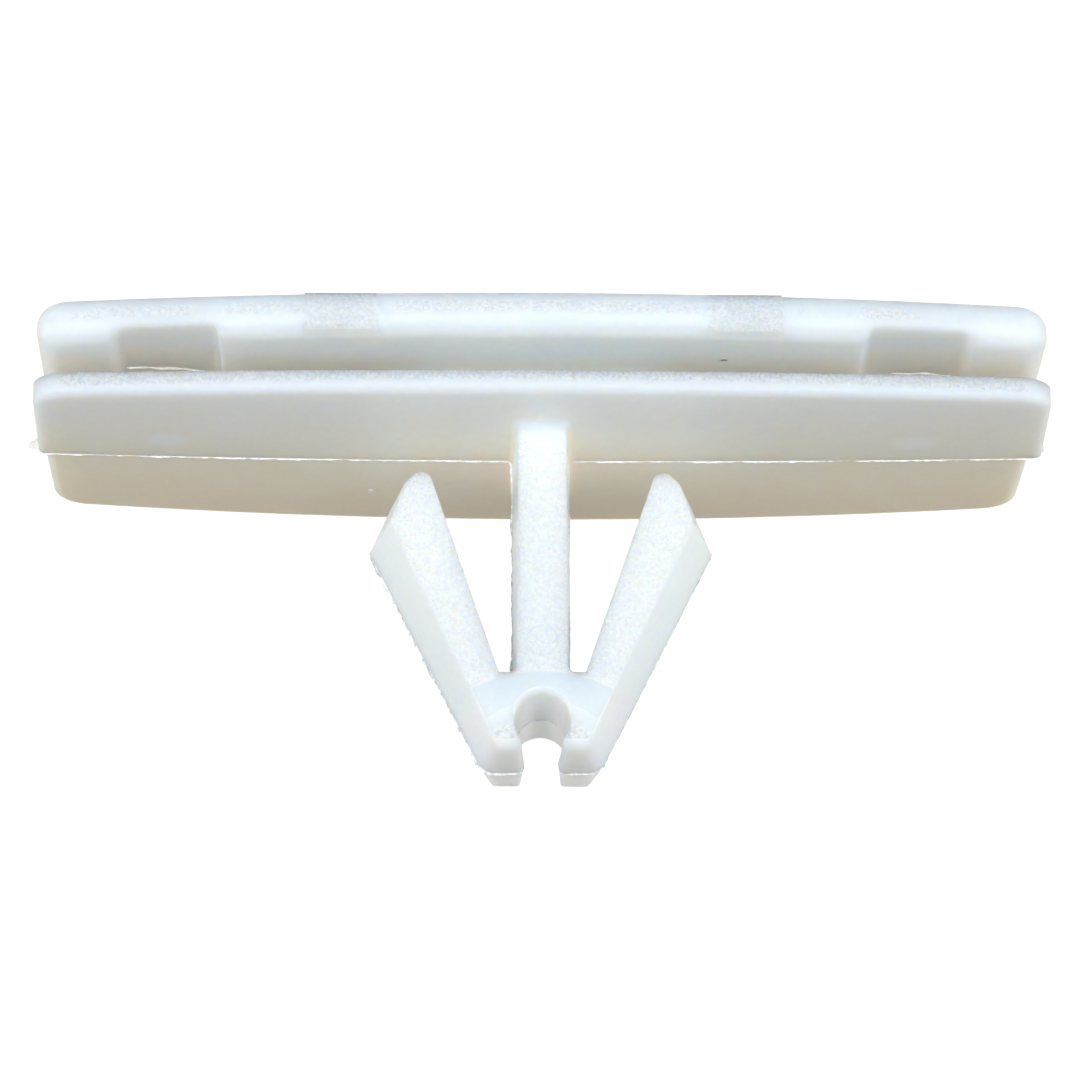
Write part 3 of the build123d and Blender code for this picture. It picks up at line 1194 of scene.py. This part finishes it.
@dataclass
class Floor:
    """Plain pale floor that looks white to the camera and keeps the clip's shadow.

    Attributes:
        size: Side of the square, in metres.
        albedo: Colour of the floor.
        lift: Brightness that it adds for the camera, mirrors and glass.
    """

    size: float = 6.0
    albedo: Rgb = (0.5, 0.5, 0.5)
    lift: float = 0.9

    def shade(self, board: SkinBoard) -> Socket:
        """Lays a plain card with a glow.

        Args:
            board: Board of the material.

        Returns:
            Shader socket.
        """
        path = board.add("LightPath").outputs
        rays = ("Is Camera Ray", "Is Glossy Ray", "Is Transmission Ray")
        seen = board.most(*[path[ray] for ray in rays])
        card = board.add("BsdfDiffuse", {"Color": rgba(self.albedo)})
        glow = board.add("Emission", {"Strength": board.product(seen, self.lift)})
        return board.add("AddShader", {0: card.outputs[0], 1: glow.outputs[0]}).outputs[0]

    def build(self) -> None:
        """Lays the floor under the clip."""
        shape = bmesh.new()
        bmesh.ops.create_grid(shape, x_segments=1, y_segments=1, size=self.size / 2)
        mesh = bpy.data.meshes.new("floor")
        shape.to_mesh(mesh)
        shape.free()
        mesh.materials.append(new_material("floor_card", self.shade))
        floor = new_object("floor", mesh)


@dataclass(frozen=True)
class Softbox:
    """Large soft lamp turned to the clip.

    Attributes:
        name: Its name.
        place: Where it stands, in metres.
        size: Width and height, in metres.
        power: Its power, in watts.
        colour: Its light.
        aim: Place that it is turned to, in metres.
    """

    name: str
    place: Triple
    size: Pair
    power: float
    colour: Rgb
    aim: Triple = (0.0, 0.0, 0.01)

    def build(self) -> None:
        """Sets the lamp up."""
        data = bpy.data.lights.new(self.name, "AREA")
        data.shape = "RECTANGLE"
        data.size, data.size_y = self.size
        data.energy = self.power
        data.color = self.colour
        lamp = new_object(self.name, data)
        sight = Vector(self.aim) - Vector(self.place)
        lamp.rotation_euler = sight.to_track_quat("-Z", "Y").to_euler()
        lamp.location = self.place
        lamp.visible_camera = False


@dataclass
class Studio:
    """Soft light: cool softboxes in front and at the sides, a warm one behind, a dim sky.

    Attributes:
        zenith: Colour of the sky overhead.
        horizon: Colour of the sky at the horizon.
        rise: Upward share of the direction where the zenith starts and where it is full.
        white: What the camera sees instead of the sky.
        lamps: The softboxes.
    """

    zenith: Rgb = (0.222, 0.212, 0.2)
    horizon: Rgb = (0.24, 0.25, 0.265)
    rise: Edge = (0.0, 0.9)
    white: Rgb = (1.0, 1.0, 1.0)
    lamps: tuple[Softbox, ...] = (
        Softbox("front_softbox", (0.0, -0.9, 0.16), (1.1, 0.16), 3.6, (0.93, 0.98, 1.0)),
        Softbox("high_softbox", (0.0, -0.8, 0.36), (1.2, 0.4), 3.9, (0.98, 0.99, 1.0)),
        Softbox("right_softbox", (0.9, -0.15, 0.09), (1.0, 0.16), 3.7, (0.91, 0.965, 1.0)),
        Softbox("left_softbox", (-0.9, -0.15, 0.09), (1.0, 0.16), 3.7, (0.91, 0.965, 1.0)),
        Softbox("back_softbox", (0.0, 0.9, 0.12), (1.0, 0.2), 1.4, (1.0, 0.95, 0.88)),
    )

    def build(self) -> None:
        """Builds the lamps and the world."""
        for lamp in self.lamps:
            lamp.build()
        world = bpy.data.worlds.new("studio")
        bpy.context.scene.world = world
        world.use_nodes = True
        board = NodeBoard(world.node_tree)
        _, _, up = board.parts(board.add("TexCoord").outputs["Generated"])
        sky = board.blend(board.span(up, self.rise), rgba(self.horizon), rgba(self.zenith))
        path = board.add("LightPath").outputs
        seen = board.most(path["Is Camera Ray"], path["Is Transmission Ray"])
        dim = board.add("Background", {"Color": sky, "Strength": 1.0})
        white = board.add("Background", {"Color": rgba(self.white), "Strength": 1.0})
        both = board.add("MixShader", {0: seen, 1: dim.outputs[0], 2: white.outputs[0]})
        board.add("OutputWorld", {"Surface": both.outputs[0]})


@dataclass
class PhotoCamera:
    """Camera at the photograph's angle, turned over so that the anchor points down.

    Attributes:
        aim: Point in the middle of the image, in mm.
        distance: Distance from it, in mm.
        elevation: Height of the line of sight, in degrees.
        azimuth: Turn towards +X, in degrees.
        roll: Trim of the turn, in degrees.
        pixels_per_mm: Scale at the aim.
        image_width: Width of the image, in pixels.
        sensor: Width and height of the sensor, in mm.
        clip: Least and greatest distance that it sees, in metres.
    """

    aim: Triple = (0.04, 0.0, 9.93)
    distance: float = 275.0
    elevation: float = 21.0
    azimuth: float = 1.0
    roll: float = -0.08
    pixels_per_mm: float = 20.0
    image_width: float = 1080.0
    sensor: float = 36.0
    clip: Pair = (0.01, 50.0)

    def axes(self) -> tuple[Vector, Vector, Vector]:
        """Works out which way the camera looks.

        Returns:
            Its line of sight and the image's directions right and down.
        """
        tilt = math.radians(self.elevation)
        sight = Vector((0, math.cos(tilt), -math.sin(tilt)))
        right = Vector((-1, 0, 0))
        down = Vector((0, math.sin(tilt), math.cos(tilt)))
        swing = Matrix.Rotation(math.radians(self.azimuth), 3, "Z")
        sight, right, down = swing @ sight, swing @ right, swing @ down
        trim = math.radians(self.roll)
        return (
            sight,
            right * math.cos(trim) - down * math.sin(trim),
            right * math.sin(trim) + down * math.cos(trim),
        )

    def build(self) -> None:
        """Creates the camera and makes it the scene's own."""
        sight, right, down = self.axes()
        data = bpy.data.cameras.new("photo_camera")
        data.sensor_width = self.sensor
        data.sensor_height = self.sensor
        data.sensor_fit = "HORIZONTAL"
        data.lens = self.sensor * self.pixels_per_mm * self.distance / self.image_width
        data.clip_start, data.clip_end = self.clip
        camera = new_object("photo_camera", data)
        turn = Matrix((right, -down, -sight)).transposed().to_4x4()
        place = (Vector(self.aim) - sight * self.distance) * MM
        camera.matrix_world = Matrix.Translation(place) @ turn
        bpy.context.scene.camera = camera


def main() -> None:
    """Builds the clip's pieces, then the studio round it."""
    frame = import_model()
    node = frame["nodes"][NODE]
    MouldedBody(node).dress()
    flash = FlashFinish().material()
    PartingFlash(node).build(flash)
    WindowSliver("window_sliver_left", (16.7, -2.2, 1.75), (21.1, -2.65, 1.75)).build(flash)
    WindowSliver("window_sliver_right", (-17.4, -2.3, 1.75), (-20.7, -2.2, 1.75)).build(flash)
    GatePip().build(flash)
    Floor().build()
    Studio().build()
    PhotoCamera().build()
    bpy.context.scene.view_settings.view_transform = "Standard"


if __name__ == "__main__":
    main()
